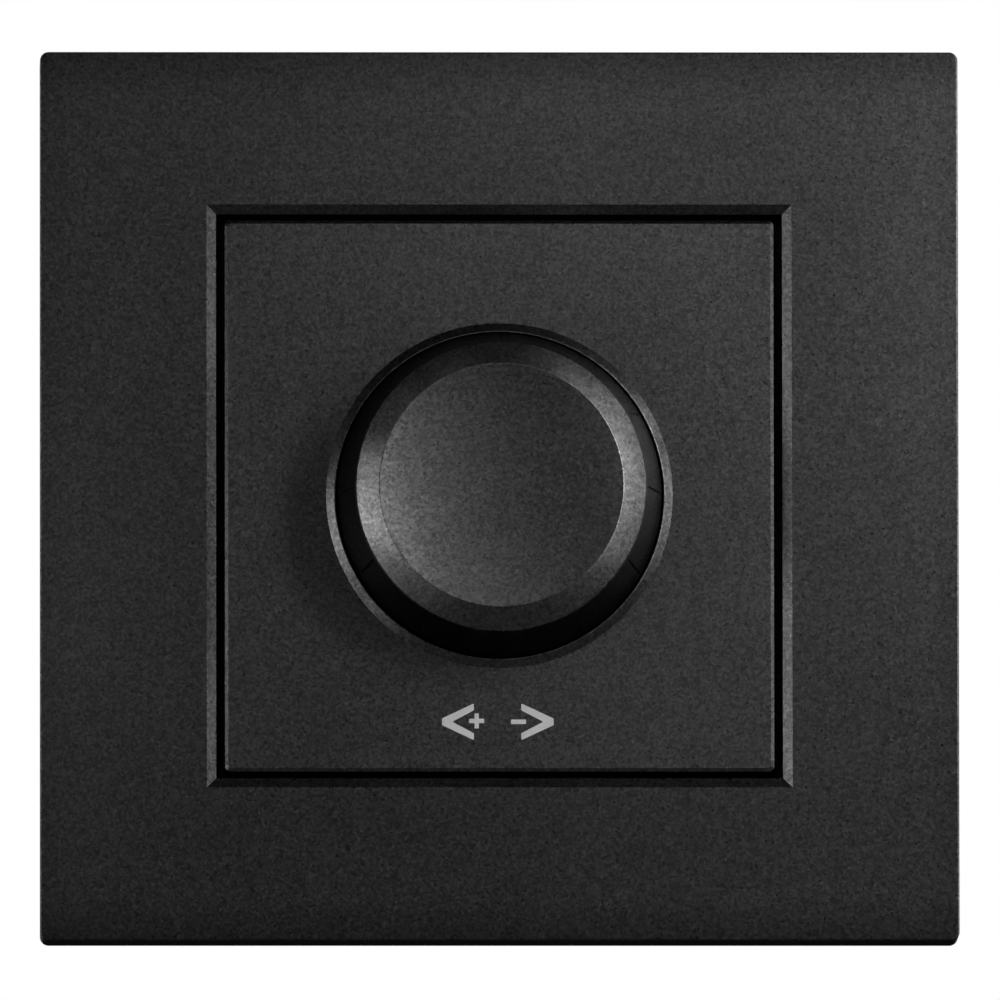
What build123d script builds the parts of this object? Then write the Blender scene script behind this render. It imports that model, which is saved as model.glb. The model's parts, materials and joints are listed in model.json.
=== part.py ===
"""Flush wall dimmer: square outer frame, square cover plate with a raised collar, a conical push-and-turn knob,
and behind them the steel mounting strap with its claws, the potentiometer with its push switch, the dimmer circuit
and the moulded housing with three screw terminals.

Frame: X to the right and Z up as seen from the room, the front faces -Y. The wall surface is the plane y = 0, and the
origin is the middle of the fixing pattern on that plane. Everything with y > 0 sits in the wall box. Millimetres.
"""

import math
import os

from build123d import *

os.makedirs("parts", exist_ok=True)

# ------------------------------------------------------------------ driving dimensions
FRONT_Y = -10.0  # front face of the frame and of the cover plate, flush with each other

FRAME_W, FRAME_H = 84.0, 81.6  # outer frame
FRAME_CORNER_R = 0.8  # corner of its outline
FRAME_EDGE_R = 0.15  # its rounded front edge
FRAME_SIDE = 6.0  # straight part of its side, behind which it draws in
FRAME_UNDERCUT = 1.2  # how far the rear rim stands back from the outline
FRAME_WALL = 3.2  # outline to cavity
FRAME_SLAB = 2.4  # front thickness
WINDOW = 51.8  # square window behind its bevel
WINDOW_BEVEL, WINDOW_BEVEL_T = 0.87, 0.5  # width and depth of that bevel
WELL_OUT = 54.6  # outside of the wall round the window
LEDGE_Y, LEDGE_REAR_Y, LEDGE_OPEN = -5.0, -3.8, 47.0  # ledge that carries the cover plate

PLATE_W, PLATE_H = 50.2, 50.6  # cover plate
PLATE_EDGE, PLATE_EDGE_T = 0.3, 0.2  # width and depth of the bevel round its front
PLATE_SLAB = 2.0
PLATE_WALL = 1.6
COLLAR_FOOT_R, COLLAR_CREST_R, COLLAR_BORE_R = 15.85, 15.12, 15.0
COLLAR_TOP_Y = -10.43
WELL_FLOOR_Y, WELL_REAR_Y = -4.5, -3.0
WELL_OUTER_R = 16.4

KNOB_FRONT_Y = -20.5  # rim of the dished front face
KNOB_FACE_R, KNOB_DISH = 11.15, 0.9
KNOB_RIM_R, KNOB_RIM_Y = 13.27, -19.52  # lower edge of the chamfer
KNOB_SKIRT_R, KNOB_SKIRT_Y, KNOB_REAR_Y = 14.82, -10.8, -6.5
KNOB_WALL = 1.5
GRIP_GROOVES = 12

PUSH_TRAVEL = 1.5
SHAFT_R, BUSH_R, BUSH_BORE_R = 2.98, 5.0, 3.04

STRAP = 71.0
STRAP_T = 1.2
FIX_PITCH = 60.0  # wall box screw spacing
FIX_SLOT_W, FIX_SLOT_L = 4.2, 7.0

HOUSING_W, HOUSING_H, HOUSING_CUT = 41.0, 43.0, 9.0
HOUSING_REAR_Y, HOUSING_FLOOR_Y, HOUSING_T = 24.0, 22.6, 1.6
MARK_T = 0.25  # how far the moulded marks stand out
POSTS = [(-15.0, 15.0), (15.0, -15.0)]
BAYS = [-8.3, 0.0, 8.3]  # terminal positions along X
TERMINAL_Z = -15.5

BOARD_Y0, BOARD_Y1 = 13.0, 14.6

CLAW_X, CLAW_Y, CLAW_Z = 23.0, 3.5, 9.0  # claw pivot: right one at -CLAW_Z, left one at +CLAW_Z
CLAW_SCREW_X = 26.6

TRIAC_X, TRIAC_HOLE_Z = 13.9, 5.4


def front(y):
    """Sketch plane parallel to the wall at that y: local x is X, local y is Z, and extruding goes towards the room."""
    return Plane(origin=(0, y, 0), x_dir=(1, 0, 0), z_dir=(0, -1, 0))


def level(z):
    """Sketch plane level with the floor at that z: local x is X, local y is Y, and extruding goes up."""
    return Plane.XY.offset(z)


def save(builder, name):
    builder.part.label = name
    export_step(builder.part, f"parts/{name}.step")


# ------------------------------------------------------------------ outer frame
with BuildPart() as outer_frame:
    with BuildSketch(front(FRONT_Y + FRAME_SIDE)):
        RectangleRounded(FRAME_W, FRAME_H, FRAME_CORNER_R)
    extrude(amount=FRAME_SIDE)
    # rear rim, drawn in towards the wall so that a shadow line runs round the frame
    with BuildSketch(front(0)):
        RectangleRounded(FRAME_W - 2 * FRAME_UNDERCUT, FRAME_H - 2 * FRAME_UNDERCUT, FRAME_CORNER_R)
    with BuildSketch(front(FRONT_Y + FRAME_SIDE)):
        RectangleRounded(FRAME_W, FRAME_H, FRAME_CORNER_R)
    loft()
    # cavity behind the front
    with BuildSketch(front(0)):
        RectangleRounded(FRAME_W - 2 * FRAME_WALL, FRAME_H - 2 * FRAME_WALL, 1.0)
    extrude(amount=-FRONT_Y - FRAME_SLAB, mode=Mode.SUBTRACT)
    # wall round the window, with a ledge for the cover plate
    with BuildSketch(front(LEDGE_REAR_Y)):
        RectangleRounded(WELL_OUT, WELL_OUT, 0.8)
    extrude(amount=LEDGE_REAR_Y - (FRONT_Y + 1.0))
    # stiffening ribs from that wall to the outer walls
    with BuildSketch(front(-3.4)):
        with Locations((-19, 33), (0, 33), (19, 33), (-19, -33), (0, -33), (19, -33)):
            Rectangle(1.2, 11.6)
        with Locations((34, -19), (34, 0), (34, 19), (-34, -19), (-34, 0), (-34, 19)):
            Rectangle(13.6, 1.2)
    extrude(amount=5.0)
    with BuildSketch(front(LEDGE_Y)):
        Rectangle(WINDOW, WINDOW)
    extrude(amount=LEDGE_Y - FRONT_Y, mode=Mode.SUBTRACT)
    with BuildSketch(front(LEDGE_REAR_Y + 0.5)):
        RectangleRounded(LEDGE_OPEN, LEDGE_OPEN, 1.0)
    extrude(amount=3.0, mode=Mode.SUBTRACT)
    with BuildSketch(front(FRONT_Y + WINDOW_BEVEL_T)):
        Rectangle(WINDOW, WINDOW)
    with BuildSketch(front(FRONT_Y)):
        Rectangle(WINDOW + 2 * WINDOW_BEVEL, WINDOW + 2 * WINDOW_BEVEL)
    loft(mode=Mode.SUBTRACT)
    face = outer_frame.faces().sort_by(Axis.Y)[0]
    fillet(face.outer_wire().edges(), radius=FRAME_EDGE_R)
save(outer_frame, "outer_frame")

# ------------------------------------------------------------------ cover plate with the knob's collar and well
with BuildPart() as cover_plate:
    with BuildSketch(front(LEDGE_Y)):
        RectangleRounded(PLATE_W, PLATE_H, 0.5)
    extrude(amount=LEDGE_Y - FRONT_Y - PLATE_EDGE_T)
    with BuildSketch(front(FRONT_Y + PLATE_EDGE_T)):
        RectangleRounded(PLATE_W, PLATE_H, 0.5)
    with BuildSketch(front(FRONT_Y)):
        RectangleRounded(PLATE_W - 2 * PLATE_EDGE, PLATE_H - 2 * PLATE_EDGE, 0.3)
    loft()
    with BuildSketch(front(LEDGE_Y)):
        RectangleRounded(PLATE_W - 2 * PLATE_WALL, PLATE_H - 2 * PLATE_WALL, 0.5)
    extrude(amount=LEDGE_Y - FRONT_Y - PLATE_SLAB, mode=Mode.SUBTRACT)
    # webs under the plate
    with BuildSketch(front(-6.0)):
        with PolarLocations(20.0, 4):
            Rectangle(9.0, 1.2)
    extrude(amount=2.6)
    with BuildSketch(front(WELL_REAR_Y)):
        Circle(WELL_OUTER_R - 0.6)
    extrude(amount=20, mode=Mode.SUBTRACT)
    with BuildSketch(Plane.XY):
        with BuildLine():
            Polyline(
                (BUSH_R + 0.3, WELL_REAR_Y),
                (WELL_OUTER_R, WELL_REAR_Y),
                (WELL_OUTER_R, FRONT_Y),
                (COLLAR_FOOT_R, FRONT_Y),
                (COLLAR_CREST_R, COLLAR_TOP_Y),
                (COLLAR_BORE_R, COLLAR_TOP_Y),
                (COLLAR_BORE_R, WELL_FLOOR_Y),
                (BUSH_R + 0.3, WELL_FLOOR_Y),
                close=True,
            )
        make_face()
    revolve(axis=Axis.Y)
    crest = cover_plate.edges().filter_by(GeomType.CIRCLE).group_by(Axis.Y)[0].sort_by(SortBy.RADIUS)
    fillet(crest[0], radius=0.05)
    crest = cover_plate.edges().filter_by(GeomType.CIRCLE).group_by(Axis.Y)[0].sort_by(SortBy.RADIUS)
    fillet(crest[-1], radius=0.08)
save(cover_plate, "cover_plate")

# ------------------------------------------------------------------ knob
dish_r = (KNOB_FACE_R**2 + KNOB_DISH**2) / (2 * KNOB_DISH)
dish_mid = KNOB_FACE_R / 2
with BuildPart() as knob:
    with BuildSketch(Plane.XY):
        with BuildLine():
            ThreePointArc(
                (0, KNOB_FRONT_Y + KNOB_DISH),
                (dish_mid, KNOB_FRONT_Y + KNOB_DISH - (dish_r - math.sqrt(dish_r**2 - dish_mid**2))),
                (KNOB_FACE_R, KNOB_FRONT_Y),
            )
            Polyline(
                (KNOB_FACE_R, KNOB_FRONT_Y),
                (KNOB_RIM_R, KNOB_RIM_Y),
                (KNOB_SKIRT_R, KNOB_SKIRT_Y),
                (KNOB_SKIRT_R, KNOB_REAR_Y),
                (KNOB_SKIRT_R - KNOB_WALL, KNOB_REAR_Y),
                (KNOB_SKIRT_R - KNOB_WALL, KNOB_SKIRT_Y),
                (KNOB_RIM_R - KNOB_WALL + 0.1, -18.0),
                (0, -18.0),
                (0, KNOB_FRONT_Y + KNOB_DISH),
            )
        make_face()
    revolve(axis=Axis.Y)
    fillet(knob.edges().filter_by(GeomType.CIRCLE).filter_by_position(Axis.Y, KNOB_RIM_Y - 0.05, KNOB_RIM_Y + 0.05), radius=0.25)
    fillet(knob.edges().filter_by(GeomType.CIRCLE).filter_by_position(Axis.Y, KNOB_FRONT_Y - 0.05, KNOB_FRONT_Y + 0.05), radius=0.15)
    # fine grip grooves up the conical side
    lean = math.atan2(KNOB_SKIRT_R - KNOB_RIM_R, KNOB_SKIRT_Y - KNOB_RIM_Y)
    planes = []
    for i in range(GRIP_GROOVES):
        a = math.radians(360.0 / GRIP_GROOVES * i)
        mid_r, mid_y = (KNOB_SKIRT_R + KNOB_RIM_R) / 2, (KNOB_SKIRT_Y + KNOB_RIM_Y) / 2
        planes.append(
            Plane(
                origin=(mid_r * math.cos(a), mid_y, mid_r * math.sin(a)),
                x_dir=(-math.sin(a), 0, math.cos(a)),
                z_dir=(math.cos(lean) * math.cos(a), -math.sin(lean), math.cos(lean) * math.sin(a)),
            )
        )
    with BuildSketch(*planes):
        SlotOverall(7.0, 0.26, rotation=90)
    extrude(amount=-0.12, mode=Mode.SUBTRACT)
    # hub and its webs
    with BuildSketch(front(-10.0)):
        Circle(5.0)
    extrude(amount=8.4)
    with BuildSketch(front(-12.6)):
        with PolarLocations(8.7, 6, start_angle=30):
            Rectangle(8.2, 1.2)
    extrude(amount=5.7)
    # D bore for the shaft, and the slit that lets the hub grip it
    with BuildSketch(front(-9.9)):
        Circle(SHAFT_R + 0.04)
        with Locations((0, 1.64 + 5)):
            Rectangle(20, 10, mode=Mode.SUBTRACT)
    extrude(amount=8.7, mode=Mode.SUBTRACT)
    with BuildSketch(front(-9.9)):
        Rectangle(0.8, 9.9)
    extrude(amount=2.6, mode=Mode.SUBTRACT)
save(knob, "knob")

with BuildPart() as hub_spring_ring:
    with BuildSketch(front(-10.4)):
        Circle(5.75)
        Circle(5.03, mode=Mode.SUBTRACT)
        with Locations((0, -5.4)):
            Rectangle(2.4, 3.0, mode=Mode.SUBTRACT)
    extrude(amount=2.0)
save(hub_spring_ring, "hub_spring_ring")

# ------------------------------------------------------------------ shaft and potentiometer
SHAFT_REAR_Y = 8.4
with BuildPart() as control_shaft:
    with BuildSketch(front(1.7)):
        Circle(SHAFT_R)
    extrude(amount=20.2)
    fillet(control_shaft.edges().sort_by(Axis.Y)[0], radius=0.4)
    with BuildSketch(front(-9.6)):
        with Locations((0, 1.6 + 5)):
            Rectangle(20, 10)
    extrude(amount=12, mode=Mode.SUBTRACT)
    # shoulder behind the bush, then the flatted tail that drives the rotor
    with BuildSketch(front(2.2)):
        Circle(3.9)
    extrude(amount=0.5)
    with BuildSketch(front(SHAFT_REAR_Y)):
        Circle(2.2)
        Rectangle(10, 3.2, mode=Mode.INTERSECT)
    extrude(amount=SHAFT_REAR_Y - 2.2)
save(control_shaft, "control_shaft")

with BuildPart() as pot_bushing:
    with BuildSketch(Plane.XY):
        with BuildLine():
            Polyline(
                (BUSH_BORE_R, -8.0),
                (BUSH_R - 0.5, -8.0),
                (BUSH_R, -7.5),
                (BUSH_R, 0.8),
                (6.5, 0.8),
                (6.5, 1.6),
                (BUSH_BORE_R, 1.6),
                close=True,
            )
        make_face()
    revolve(axis=Axis.Y)
save(pot_bushing, "pot_bushing")

with BuildPart() as pot_case:
    with BuildSketch(front(7.0)):
        Circle(8.5)
    extrude(amount=7.0)
    with BuildSketch(front(7.0)):
        Circle(7.9)
    extrude(amount=6.2, mode=Mode.SUBTRACT)
    with BuildSketch(front(1.0)):
        Circle(BUSH_R + 0.02)
    extrude(amount=2.0, mode=Mode.SUBTRACT)
    # end stop for the rotor
    with BuildSketch(front(5.4)):
        with Locations((0, -7.55)):
            Rectangle(3.2, 1.1)
    extrude(amount=1.6)
    # notch for the tongue that carries the tags
    with BuildSketch(front(7.0)):
        with Locations((0, -8.2)):
            Rectangle(8.4, 3.2)
    extrude(amount=1.4, mode=Mode.SUBTRACT)
save(pot_case, "pot_case")

with BuildPart() as pot_rotor:
    with BuildSketch(front(5.4)):
        Circle(6.4)
        with Locations((0, 6.9)):
            Rectangle(2.4, 1.3)
        with BuildSketch(mode=Mode.PRIVATE) as drive:
            Circle(2.28)
            Rectangle(10, 3.36, mode=Mode.INTERSECT)
        add(drive.sketch, mode=Mode.SUBTRACT)
    extrude(amount=1.4)
save(pot_rotor, "pot_rotor")

with BuildPart() as wiper_spring:
    with BuildSketch(front(5.6)):
        Circle(6.0)
        Circle(3.2, mode=Mode.SUBTRACT)
        with Locations((-4, 0)):
            Rectangle(6, 1.0, mode=Mode.SUBTRACT)
    extrude(amount=0.2)
    with BuildSketch(front(5.85)):
        with Locations((0, 5.2), (0, 4.0)):
            Circle(0.4)
    extrude(amount=0.25)
save(wiper_spring, "wiper_spring")

with BuildPart() as resistive_track:
    with BuildSketch(front(6.9)):
        Circle(7.8)
        with Locations((0, -8.4)):
            Rectangle(8.0, 3.0)
        Circle(2.7, mode=Mode.SUBTRACT)
    extrude(amount=1.0)
save(resistive_track, "resistive_track")

with BuildPart() as pot_tags:
    with BuildSketch(front(7.3)):
        with Locations((-2.6, -8.5), (0, -8.5), (2.6, -8.5)):
            Rectangle(1.1, 2.4)
    extrude(amount=0.4)
    with BuildSketch(front(BOARD_Y0)):
        with Locations((-2.6, -9.5), (0, -9.5), (2.6, -9.5)):
            Rectangle(0.8, 0.4)
    extrude(amount=BOARD_Y0 - 7.3)
save(pot_tags, "pot_tags")

# ------------------------------------------------------------------ nuts that hold the potentiometer and the cover plate
with BuildPart() as lock_washer:
    with BuildSketch(front(-1.2)):
        Circle(8.2)
        Circle(BUSH_R + 0.15, mode=Mode.SUBTRACT)
        with PolarLocations(8.2, 12):
            Rectangle(1.4, 1.0, mode=Mode.SUBTRACT)
    extrude(amount=0.5)
save(lock_washer, "lock_washer")

with BuildPart() as lock_nut:
    with BuildSketch(front(-1.7)):
        RegularPolygon(7.0, 6, major_radius=False)
    extrude(amount=1.3)
    with BuildSketch(front(0)):
        Circle(BUSH_R + 0.02)
    extrude(amount=5, mode=Mode.SUBTRACT)
save(lock_nut, "lock_nut")

with BuildPart() as cover_nut:
    with BuildSketch(front(WELL_FLOOR_Y)):
        Circle(8.0)
    extrude(amount=2.2)
    chamfer(cover_nut.edges().sort_by(Axis.Y)[0], length=0.4)
    with BuildSketch(front(0)):
        Circle(BUSH_R + 0.02)
    extrude(amount=10, mode=Mode.SUBTRACT)
    with BuildSketch(front(WELL_FLOOR_Y - 1.0)):
        with PolarLocations(8.0, 4):
            Rectangle(3.0, 1.8)
    extrude(amount=3, mode=Mode.SUBTRACT)
save(cover_nut, "cover_nut")

# ------------------------------------------------------------------ steel mounting strap with the claw ears
with BuildPart() as mounting_strap:
    with BuildSketch(front(0)):
        RectangleRounded(STRAP, STRAP, 6.0)
        Circle(BUSH_R + 0.2, mode=Mode.SUBTRACT)
        with Locations((-FIX_PITCH / 2, 0), (FIX_PITCH / 2, 0)):
            SlotOverall(FIX_SLOT_L, FIX_SLOT_W, mode=Mode.SUBTRACT)
        with Locations((0, -FIX_PITCH / 2), (0, FIX_PITCH / 2)):
            SlotOverall(FIX_SLOT_L, FIX_SLOT_W, rotation=90, mode=Mode.SUBTRACT)
        with Locations((CLAW_SCREW_X, -CLAW_Z), (-CLAW_SCREW_X, CLAW_Z)):
            Circle(1.7, mode=Mode.SUBTRACT)
        with Locations(*POSTS):
            Circle(1.6, mode=Mode.SUBTRACT)
        with Locations((TRIAC_X, TRIAC_HOLE_Z)):
            Circle(1.65, mode=Mode.SUBTRACT)
        # cut-outs that lighten the corners and take the box's own screw towers
        with Locations((26, 26), (-26, 26), (26, -26), (-26, -26)):
            Circle(4.0, mode=Mode.SUBTRACT)
    extrude(amount=STRAP_T)
    # raised stiffening beads, pressed towards the room
    with BuildSketch(front(-STRAP_T)):
        with Locations((0, 21.5), (0, -21.5)):
            SlotOverall(26, 2.4)
    extrude(amount=0.5)
    # ears bent back on both sides, drilled for the claw pins
    for side in (1, -1):
        with BuildSketch(front(5.4)):
            with Locations((side * CLAW_X, -side * CLAW_Z - 6.0), (side * CLAW_X, -side * CLAW_Z + 6.0)):
                Rectangle(3.2, 1.2)
        extrude(amount=5.9)
    ear_ends = mounting_strap.edges().filter_by(Axis.Z).group_by(Axis.Y)[-1]
    fillet(ear_ends, radius=1.3)
    for side in (1, -1):
        with BuildSketch(level(-side * CLAW_Z - 8.0)):
            with Locations((side * CLAW_X, CLAW_Y)):
                Circle(1.05)
        extrude(amount=16.0, mode=Mode.SUBTRACT)
save(mounting_strap, "mounting_strap")


# ------------------------------------------------------------------ claws, their pins, screws and nuts
def make_claw(side):
    """Spreading claw: a knuckle on the pin, a forked tab round the screw, and a toothed arm along the housing."""
    zc = -side * CLAW_Z
    with BuildPart() as claw:
        with BuildSketch(level(zc - 4.6)):
            with Locations((side * CLAW_X, CLAW_Y)):
                Circle(1.9)
            with Locations((side * CLAW_X, (CLAW_Y + 20.0) / 2)):
                Rectangle(1.2, 20.0 - CLAW_Y)
            with Locations((side * (CLAW_X + 2.8), CLAW_Y)):
                Rectangle(5.6, 1.2)
            with Locations((side * (CLAW_X + 1.1), 19.4)):
                Rectangle(3.4, 1.2)
        extrude(amount=9.2)
        # room for the screw through the arm, the knuckle and the tab
        with BuildSketch(level(zc - 2.9)):
            with Locations((side * CLAW_X, 10.4)):
                Rectangle(4.0, 9.8)
        extrude(amount=5.8, mode=Mode.SUBTRACT)
        with BuildSketch(level(zc - 1.9)):
            with Locations((side * (CLAW_X + 5.0), CLAW_Y)):
                Rectangle(7.0, 3.0)
        extrude(amount=3.8, mode=Mode.SUBTRACT)
        with BuildSketch(level(zc - 8.0)):
            with Locations((side * CLAW_X, CLAW_Y)):
                Circle(1.06)
        extrude(amount=16.0, mode=Mode.SUBTRACT)
        # teeth that bite into the box wall
        with BuildSketch(front(21.0)):
            for k in (-1, 0, 1):
                with BuildLine():
                    Polyline(
                        (side * (CLAW_X + 3.2), zc + 3.07 * k + 1.53),
                        (side * (CLAW_X + 1.6), zc + 3.07 * k + 1.53 - 1.0),
                        (side * (CLAW_X + 3.2), zc + 3.07 * k + 1.53 - 2.0),
                        close=True,
                    )
                make_face()
        extrude(amount=4.0, mode=Mode.SUBTRACT)
    return claw


claw_right = make_claw(1)
save(claw_right, "claw_right")
claw_left = make_claw(-1)
save(claw_left, "claw_left")

with BuildPart() as claw_pins:
    for side in (1, -1):
        with BuildSketch(level(-side * CLAW_Z - 7.2)):
            with Locations((side * CLAW_X, CLAW_Y)):
                Circle(1.0)
        extrude(amount=14.4)
        for z0 in (-7.3, 6.7):
            with BuildSketch(level(-side * CLAW_Z + z0)):
                with Locations((side * CLAW_X, CLAW_Y)):
                    Circle(1.5)
            extrude(amount=0.6)
save(claw_pins, "claw_pins")

CLAW_SCREWS = [(CLAW_SCREW_X, -CLAW_Z), (-CLAW_SCREW_X, CLAW_Z)]
with BuildPart() as claw_screws:
    with BuildSketch(front(13.0)):
        with Locations(*CLAW_SCREWS):
            Circle(1.5)
    extrude(amount=13.0 + STRAP_T)
    with BuildSketch(front(-STRAP_T)):
        with Locations(*CLAW_SCREWS):
            Circle(2.7)
    extrude(amount=1.9)
    fillet(claw_screws.edges().filter_by(GeomType.CIRCLE).group_by(Axis.Y)[0], radius=0.7)
    # cross slots
    with BuildSketch(front(-STRAP_T - 0.8)):
        with Locations(*CLAW_SCREWS):
            Rectangle(3.6, 0.7)
            Rectangle(0.7, 3.6)
    extrude(amount=3, mode=Mode.SUBTRACT)
save(claw_screws, "claw_screws")

with BuildPart() as claw_nuts:
    with BuildSketch(front(12.2)):
        with Locations(*CLAW_SCREWS):
            RectangleRounded(5.0, 5.0, 0.3)
            Circle(1.52, mode=Mode.SUBTRACT)
    extrude(amount=2.0)
save(claw_nuts, "claw_nuts")

# ------------------------------------------------------------------ moulded rear housing
inner_cut = HOUSING_CUT - HOUSING_T * (2 - math.sqrt(2))
with BuildPart() as rear_housing:
    with BuildSketch(front(HOUSING_REAR_Y)) as outline:
        Rectangle(HOUSING_W, HOUSING_H)
        chamfer(outline.vertices(), length=HOUSING_CUT)
    extrude(amount=HOUSING_REAR_Y)
    chamfer(rear_housing.faces().sort_by(Axis.Y)[-1].edges(), length=0.9)
    with BuildSketch(front(HOUSING_FLOOR_Y)) as hollow:
        Rectangle(HOUSING_W - 2 * HOUSING_T, HOUSING_H - 2 * HOUSING_T)
        chamfer(hollow.vertices(), length=inner_cut)
    extrude(amount=HOUSING_FLOOR_Y, mode=Mode.SUBTRACT)
    # posts for the strap screws
    with BuildSketch(front(HOUSING_FLOOR_Y + 0.4)):
        with Locations(*POSTS):
            Circle(2.9)
    extrude(amount=HOUSING_FLOOR_Y + 0.4)
    # walls between the terminals, which also carry the board
    with BuildSketch(front(HOUSING_FLOOR_Y + 0.4)):
        with Locations(*[(x, -16.0) for x in (-12.45, -4.15, 4.15, 12.45)]):
            Rectangle(1.2, 9.0)
        with Locations((-8.0, 19.4), (8.0, 19.4)):
            Rectangle(3.0, 2.0)
    extrude(amount=HOUSING_FLOOR_Y + 0.4 - BOARD_Y1)
    with BuildSketch(front(14.0)):
        with Locations(*POSTS):
            Circle(1.2)
    extrude(amount=15.0, mode=Mode.SUBTRACT)
    # wire entries through the lower wall
    with BuildSketch(level(-23.0)):
        with Locations(*[(x, 18.0) for x in BAYS]):
            RectangleRounded(5.8, 5.6, 0.6)
    extrude(amount=3.6, mode=Mode.SUBTRACT)
    # screwdriver holes and cooling slots in the rear wall
    with BuildSketch(front(25.0)):
        with Locations(*[(x, TERMINAL_Z) for x in BAYS]):
            Circle(2.75)
        with Locations(*[(x, 6.5) for x in (-10.0, -5.0, 0.0, 5.0, 10.0)]):
            SlotOverall(13.0, 1.6, rotation=90)
    extrude(amount=3.0, mode=Mode.SUBTRACT)
    # raised marks beside the terminals: an arrow at each switched one, a bar at the supply, and shallow ejector marks
    with BuildSketch(front(HOUSING_REAR_Y + MARK_T)):
        with Locations((BAYS[0], TERMINAL_Z + 5.0), (BAYS[2], TERMINAL_Z + 5.0)):
            RegularPolygon(1.3, 3, rotation=90)
        with Locations((BAYS[1], TERMINAL_Z + 4.7)):
            Rectangle(2.6, 0.7)
    extrude(amount=MARK_T + 0.1)
    with BuildSketch(front(HOUSING_REAR_Y)):
        with Locations((-15.0, -3.0), (15.0, -3.0), (0, 17.0)):
            Circle(1.6)
    extrude(amount=0.15, mode=Mode.SUBTRACT)
save(rear_housing, "rear_housing")

with BuildPart() as housing_screws:
    with BuildSketch(front(11.0)):
        with Locations(*POSTS):
            Circle(1.18)
    extrude(amount=11.0 + STRAP_T)
    with BuildSketch(front(-STRAP_T)):
        with Locations(*POSTS):
            Circle(2.6)
    extrude(amount=1.5)
    fillet(housing_screws.edges().filter_by(GeomType.CIRCLE).group_by(Axis.Y)[0], radius=0.6)
    with BuildSketch(front(-STRAP_T - 0.6)):
        with Locations(*POSTS):
            Rectangle(3.2, 0.7)
            Rectangle(0.7, 3.2)
    extrude(amount=3, mode=Mode.SUBTRACT)
save(housing_screws, "housing_screws")

# ------------------------------------------------------------------ push switch behind the potentiometer
with BuildPart() as switch_case:
    with BuildSketch(front(BOARD_Y0)):
        RectangleRounded(13.6, 13.6, 0.8)
    extrude(amount=BOARD_Y0 - 7.0)
    with BuildSketch(front(12.2)):
        RectangleRounded(12.0, 12.0, 0.5)
    extrude(amount=12.2 - 7.8, mode=Mode.SUBTRACT)
    with BuildSketch(front(8.0)):
        Circle(2.6)
    extrude(amount=2.0, mode=Mode.SUBTRACT)
save(switch_case, "switch_case")

with BuildPart() as switch_plunger:
    with BuildSketch(front(9.4)):
        RectangleRounded(11.6, 8.0, 0.5)
    extrude(amount=1.0)
    with BuildSketch(front(10.5)):
        Circle(1.3)
    extrude(amount=1.1)
save(switch_plunger, "switch_plunger")

with BuildPart() as switch_bridge:
    with BuildSketch(front(9.7)):
        RectangleRounded(11.0, 4.8, 0.4)
        Circle(1.36, mode=Mode.SUBTRACT)
    extrude(amount=0.3)
save(switch_bridge, "switch_bridge")

with BuildPart() as switch_contacts:
    with BuildSketch(front(12.2)):
        with Locations((-4.4, 0), (4.4, 0)):
            Rectangle(1.8, 2.4)
    extrude(amount=0.96)
save(switch_contacts, "switch_contacts")

SPRING_Y0, SPRING_Y1, SPRING_WIRE = 9.7, 12.2, 0.17
with BuildPart() as switch_spring:
    with BuildLine() as coil:
        Helix(
            pitch=0.62,
            height=SPRING_Y1 - SPRING_Y0 - 2 * SPRING_WIRE - 0.04,
            radius=2.0,
            center=(0, SPRING_Y0 + SPRING_WIRE + 0.02, 0),
            direction=(0, 1, 0),
        )
    with BuildSketch(Plane(origin=coil.line @ 0, z_dir=coil.line % 0)):
        Circle(SPRING_WIRE)
    sweep()
save(switch_spring, "switch_spring")

# ------------------------------------------------------------------ circuit board and what is soldered to it
with BuildPart() as circuit_board:
    with BuildSketch(front(BOARD_Y1)) as board:
        Rectangle(HOUSING_W - 2 * HOUSING_T - 0.4, HOUSING_H - 2 * HOUSING_T - 0.4)
        chamfer(board.vertices(), length=inner_cut)
        with Locations(*POSTS):
            Circle(3.2, mode=Mode.SUBTRACT)
    extrude(amount=BOARD_Y1 - BOARD_Y0)
save(circuit_board, "circuit_board")

with BuildPart() as mains_capacitor:
    with BuildSketch(front(BOARD_Y0)):
        with Locations((0, 15.4)):
            Rectangle(15.0, 6.2)
    extrude(amount=10.6)
    fillet(mains_capacitor.faces().sort_by(Axis.Y)[0].edges(), radius=0.6)
save(mains_capacitor, "mains_capacitor")

CHOKE = (-13.7, 10.9, 1.0)
with BuildPart() as choke_core:
    with BuildSketch(Plane.XY):
        with Locations((2.8, 0)):
            Circle(1.3)
    revolve(axis=Axis.Y)
choke_core.part.locate(Location(CHOKE))
save(choke_core, "choke_core")

turns = []
for i in range(16):
    a = math.radians(30 + 20 * i)
    turns.append(
        Plane(
            origin=(CHOKE[0] + 2.8 * math.cos(a), CHOKE[1], CHOKE[2] + 2.8 * math.sin(a)),
            x_dir=(math.cos(a), 0, math.sin(a)),
            z_dir=(-math.sin(a), 0, math.cos(a)),
        )
    )
with BuildPart(*turns) as choke_winding:
    Torus(1.62, 0.27)
save(choke_winding, "choke_winding")

with BuildPart() as triac_pad:
    with BuildSketch(front(0.2)):
        with Locations((TRIAC_X, 0.7)):
            Rectangle(9.8, 16.4)
        with Locations((TRIAC_X, TRIAC_HOLE_Z)):
            Circle(1.7, mode=Mode.SUBTRACT)
    extrude(amount=0.2)
save(triac_pad, "triac_pad")

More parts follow.
